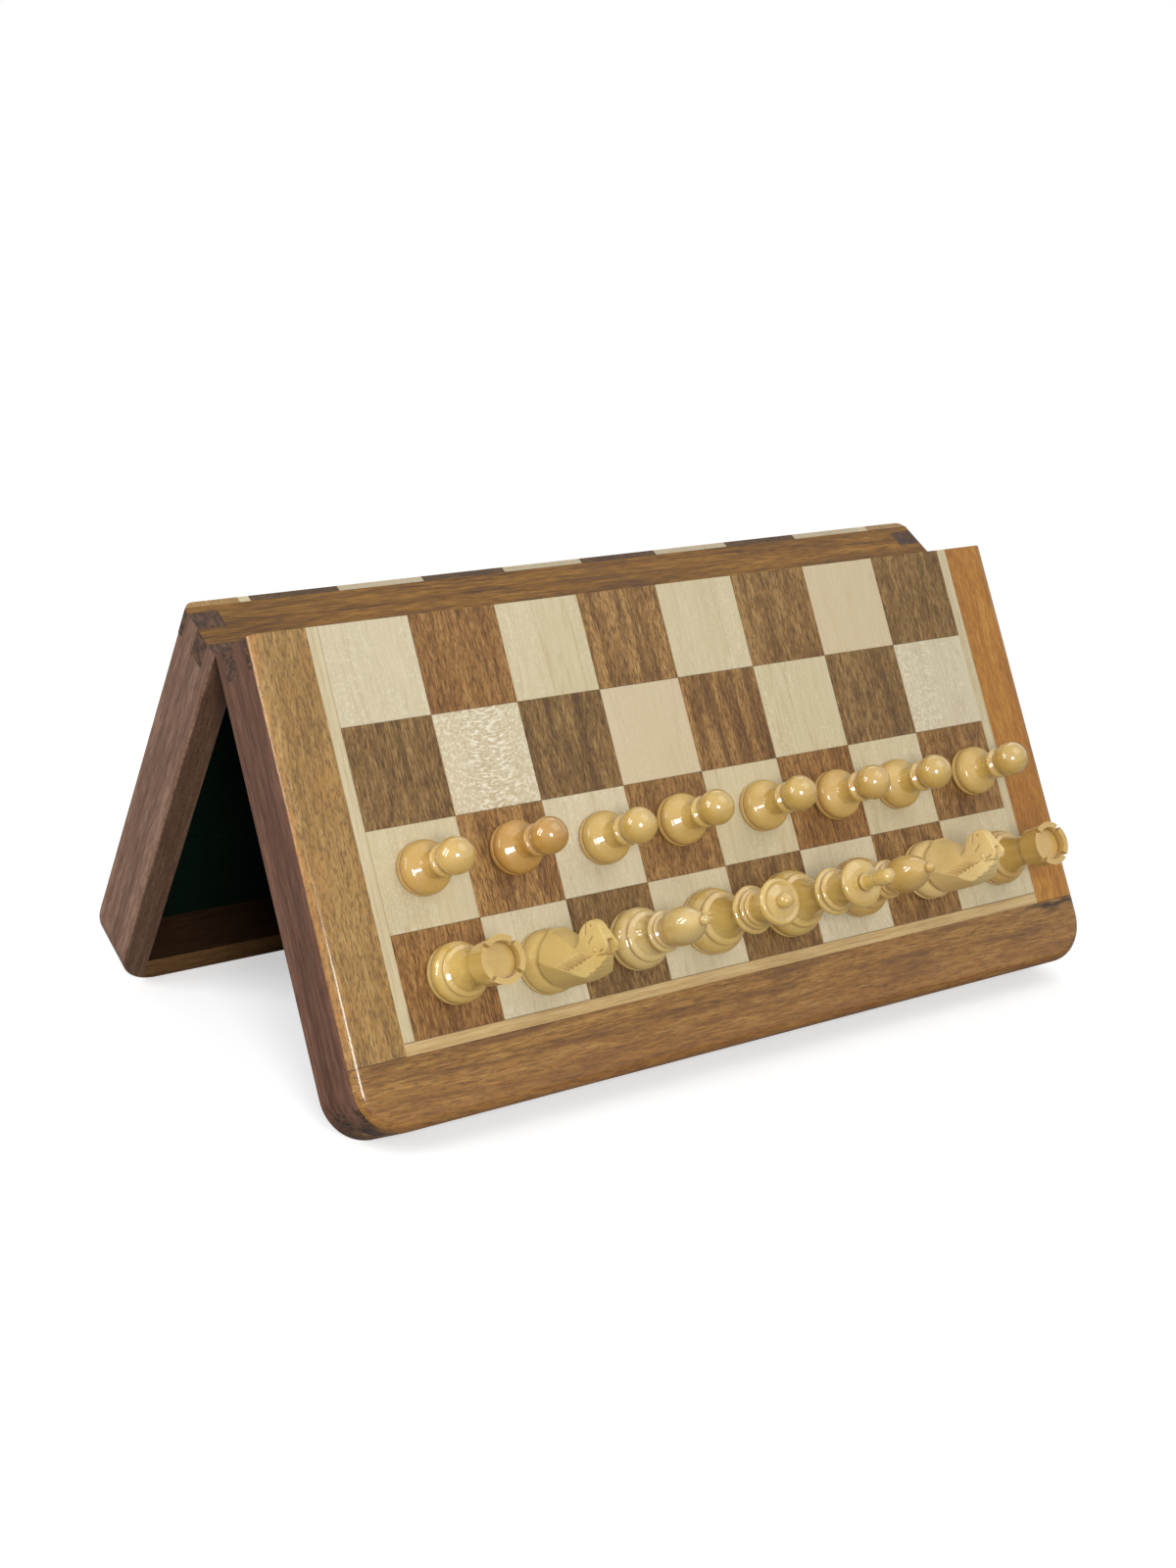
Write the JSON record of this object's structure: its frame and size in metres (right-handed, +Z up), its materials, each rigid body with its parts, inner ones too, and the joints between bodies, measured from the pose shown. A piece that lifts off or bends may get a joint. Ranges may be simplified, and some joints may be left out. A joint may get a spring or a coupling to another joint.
{
  "type": "magnetic folding chess set",
  "caption": "Wooden chess board that folds into a felt-lined case, with turned and carved magnetic pieces standing on it.",
  "frame": {"origin": "on the table under the hinge, at the middle of the hinge line, with the case stood up like a tent", "axes": "+X along the hinge, the front half and its white pieces face -Y, +Z up"},
  "size_m": [0.302, 0.2486, 0.146],
  "materials": {
    "wall_wood": "clear lacquer, satin",
    "plywood": "sanded",
    "steel": "rolled sheet",
    "felt": "napped felt",
    "light_veneer": "clear lacquer, satin",
    "dark_veneer": "clear lacquer, satin",
    "border_wood": "clear lacquer, gloss",
    "inlay_wood": "clear lacquer, satin",
    "brass": "polished",
    "pin_steel": "drawn wire",
    "white_pieces": "clear lacquer, gloss",
    "black_pieces": "clear lacquer, gloss"
  },
  "bodies": {
    "front_half": {"front_hinge_wall": "wall_wood", "front_far_wall": "wall_wood", "front_left_wall": "wall_wood", "front_right_wall": "wall_wood", "front_deck": "plywood", "front_steel_sheet": "steel", "front_felt_lining": "felt", "front_light_squares": "light_veneer", "front_dark_squares": "dark_veneer", "front_border_strips": "border_wood", "front_inlay_strips": "inlay_wood", "front_hinge_leaves": "brass", "front_hinge_screws": "brass", "hinge_pins": "pin_steel"},
    "rear_half": {"rear_hinge_wall": "wall_wood", "rear_far_wall": "wall_wood", "rear_left_wall": "wall_wood", "rear_right_wall": "wall_wood", "rear_deck": "plywood", "rear_steel_sheet": "steel", "rear_felt_lining": "felt", "rear_light_squares": "light_veneer", "rear_dark_squares": "dark_veneer", "rear_border_strips": "border_wood", "rear_inlay_strips": "inlay_wood", "rear_hinge_leaves": "brass", "rear_hinge_screws": "brass"},
    "white_left_rook": {"white_left_rook": "white_pieces"},
    "white_left_knight": {"white_left_knight": "white_pieces"},
    "white_left_bishop": {"white_left_bishop": "white_pieces"},
    "white_queen": {"white_queen": "white_pieces"},
    "white_king": {"white_king": "white_pieces"},
    "white_right_bishop": {"white_right_bishop": "white_pieces"},
    "white_right_knight": {"white_right_knight": "white_pieces"},
    "white_right_rook": {"white_right_rook": "white_pieces"},
    "white_pawn_1": {"white_pawn_1": "white_pieces"},
    "white_pawn_2": {"white_pawn_2": "white_pieces"},
    "white_pawn_3": {"white_pawn_3": "white_pieces"},
    "white_pawn_4": {"white_pawn_4": "white_pieces"},
    "white_pawn_5": {"white_pawn_5": "white_pieces"},
    "white_pawn_6": {"white_pawn_6": "white_pieces"},
    "white_pawn_7": {"white_pawn_7": "white_pieces"},
    "white_pawn_8": {"white_pawn_8": "white_pieces"},
    "black_left_rook": {"black_left_rook": "black_pieces"},
    "black_left_knight": {"black_left_knight": "black_pieces"},
    "black_left_bishop": {"black_left_bishop": "black_pieces"},
    "black_king": {"black_king": "black_pieces"},
    "black_queen": {"black_queen": "black_pieces"},
    "black_right_bishop": {"black_right_bishop": "black_pieces"},
    "black_right_knight": {"black_right_knight": "black_pieces"},
    "black_right_rook": {"black_right_rook": "black_pieces"},
    "black_pawn_1": {"black_pawn_1": "black_pieces"},
    "black_pawn_2": {"black_pawn_2": "black_pieces"},
    "black_pawn_3": {"black_pawn_3": "black_pieces"},
    "black_pawn_4": {"black_pawn_4": "black_pieces"},
    "black_pawn_5": {"black_pawn_5": "black_pieces"},
    "black_pawn_6": {"black_pawn_6": "black_pieces"},
    "black_pawn_7": {"black_pawn_7": "black_pieces"},
    "black_pawn_8": {"black_pawn_8": "black_pieces"}
  },
  "joints": [
    {"name": "fold", "type": "hinge", "parent": "front_half", "child": "rear_half", "pos_m": [0, 0, 0.1345], "axis": [1, 0, 0], "range_deg": [-56.8, 123.2]},
    {"name": "white_left_rook_lift", "type": "slide", "parent": "front_half", "child": "white_left_rook", "axis": [0, -0.8796, 0.4756], "range_m": [0, 0.07]},
    {"name": "white_left_knight_lift", "type": "slide", "parent": "front_half", "child": "white_left_knight", "axis": [0, -0.8796, 0.4756], "range_m": [0, 0.07]},
    {"name": "white_left_bishop_lift", "type": "slide", "parent": "front_half", "child": "white_left_bishop", "axis": [0, -0.8796, 0.4756], "range_m": [0, 0.07]},
    {"name": "white_queen_lift", "type": "slide", "parent": "front_half", "child": "white_queen", "axis": [0, -0.8796, 0.4756], "range_m": [0, 0.07]},
    {"name": "white_king_lift", "type": "slide", "parent": "front_half", "child": "white_king", "axis": [0, -0.8796, 0.4756], "range_m": [0, 0.07]},
    {"name": "white_right_bishop_lift", "type": "slide", "parent": "front_half", "child": "white_right_bishop", "axis": [0, -0.8796, 0.4756], "range_m": [0, 0.07]},
    {"name": "white_right_knight_lift", "type": "slide", "parent": "front_half", "child": "white_right_knight", "axis": [0, -0.8796, 0.4756], "range_m": [0, 0.07]},
    {"name": "white_right_rook_lift", "type": "slide", "parent": "front_half", "child": "white_right_rook", "axis": [0, -0.8796, 0.4756], "range_m": [0, 0.07]},
    {"name": "white_pawn_1_lift", "type": "slide", "parent": "front_half", "child": "white_pawn_1", "axis": [0, -0.8796, 0.4756], "range_m": [0, 0.07]},
    {"name": "white_pawn_2_lift", "type": "slide", "parent": "front_half", "child": "white_pawn_2", "axis": [0, -0.8796, 0.4756], "range_m": [0, 0.07]},
    {"name": "white_pawn_3_lift", "type": "slide", "parent": "front_half", "child": "white_pawn_3", "axis": [0, -0.8796, 0.4756], "range_m": [0, 0.07]},
    {"name": "white_pawn_4_lift", "type": "slide", "parent": "front_half", "child": "white_pawn_4", "axis": [0, -0.8796, 0.4756], "range_m": [0, 0.07]},
    {"name": "white_pawn_5_lift", "type": "slide", "parent": "front_half", "child": "white_pawn_5", "axis": [0, -0.8796, 0.4756], "range_m": [0, 0.07]},
    {"name": "white_pawn_6_lift", "type": "slide", "parent": "front_half", "child": "white_pawn_6", "axis": [0, -0.8796, 0.4756], "range_m": [0, 0.07]},
    {"name": "white_pawn_7_lift", "type": "slide", "parent": "front_half", "child": "white_pawn_7", "axis": [0, -0.8796, 0.4756], "range_m": [0, 0.07]},
    {"name": "white_pawn_8_lift", "type": "slide", "parent": "front_half", "child": "white_pawn_8", "axis": [0, -0.8796, 0.4756], "range_m": [0, 0.07]},
    {"name": "black_left_rook_lift", "type": "slide", "parent": "rear_half", "child": "black_left_rook", "axis": [0, 0.8796, 0.4756], "range_m": [0, 0.07]},
    {"name": "black_left_knight_lift", "type": "slide", "parent": "rear_half", "child": "black_left_knight", "axis": [0, 0.8796, 0.4756], "range_m": [0, 0.07]},
    {"name": "black_left_bishop_lift", "type": "slide", "parent": "rear_half", "child": "black_left_bishop", "axis": [0, 0.8796, 0.4756], "range_m": [0, 0.07]},
    {"name": "black_king_lift", "type": "slide", "parent": "rear_half", "child": "black_king", "axis": [0, 0.8796, 0.4756], "range_m": [0, 0.07]},
    {"name": "black_queen_lift", "type": "slide", "parent": "rear_half", "child": "black_queen", "axis": [0, 0.8796, 0.4756], "range_m": [0, 0.07]},
    {"name": "black_right_bishop_lift", "type": "slide", "parent": "rear_half", "child": "black_right_bishop", "axis": [0, 0.8796, 0.4756], "range_m": [0, 0.07]},
    {"name": "black_right_knight_lift", "type": "slide", "parent": "rear_half", "child": "black_right_knight", "axis": [0, 0.8796, 0.4756], "range_m": [0, 0.07]},
    {"name": "black_right_rook_lift", "type": "slide", "parent": "rear_half", "child": "black_right_rook", "axis": [0, 0.8796, 0.4756], "range_m": [0, 0.07]},
    {"name": "black_pawn_1_lift", "type": "slide", "parent": "rear_half", "child": "black_pawn_1", "axis": [0, 0.8796, 0.4756], "range_m": [0, 0.07]},
    {"name": "black_pawn_2_lift", "type": "slide", "parent": "rear_half", "child": "black_pawn_2", "axis": [0, 0.8796, 0.4756], "range_m": [0, 0.07]},
    {"name": "black_pawn_3_lift", "type": "slide", "parent": "rear_half", "child": "black_pawn_3", "axis": [0, 0.8796, 0.4756], "range_m": [0, 0.07]},
    {"name": "black_pawn_4_lift", "type": "slide", "parent": "rear_half", "child": "black_pawn_4", "axis": [0, 0.8796, 0.4756], "range_m": [0, 0.07]},
    {"name": "black_pawn_5_lift", "type": "slide", "parent": "rear_half", "child": "black_pawn_5", "axis": [0, 0.8796, 0.4756], "range_m": [0, 0.07]},
    {"name": "black_pawn_6_lift", "type": "slide", "parent": "rear_half", "child": "black_pawn_6", "axis": [0, 0.8796, 0.4756], "range_m": [0, 0.07]},
    {"name": "black_pawn_7_lift", "type": "slide", "parent": "rear_half", "child": "black_pawn_7", "axis": [0, 0.8796, 0.4756], "range_m": [0, 0.07]},
    {"name": "black_pawn_8_lift", "type": "slide", "parent": "rear_half", "child": "black_pawn_8", "axis": [0, 0.8796, 0.4756], "range_m": [0, 0.07]}
  ]
}
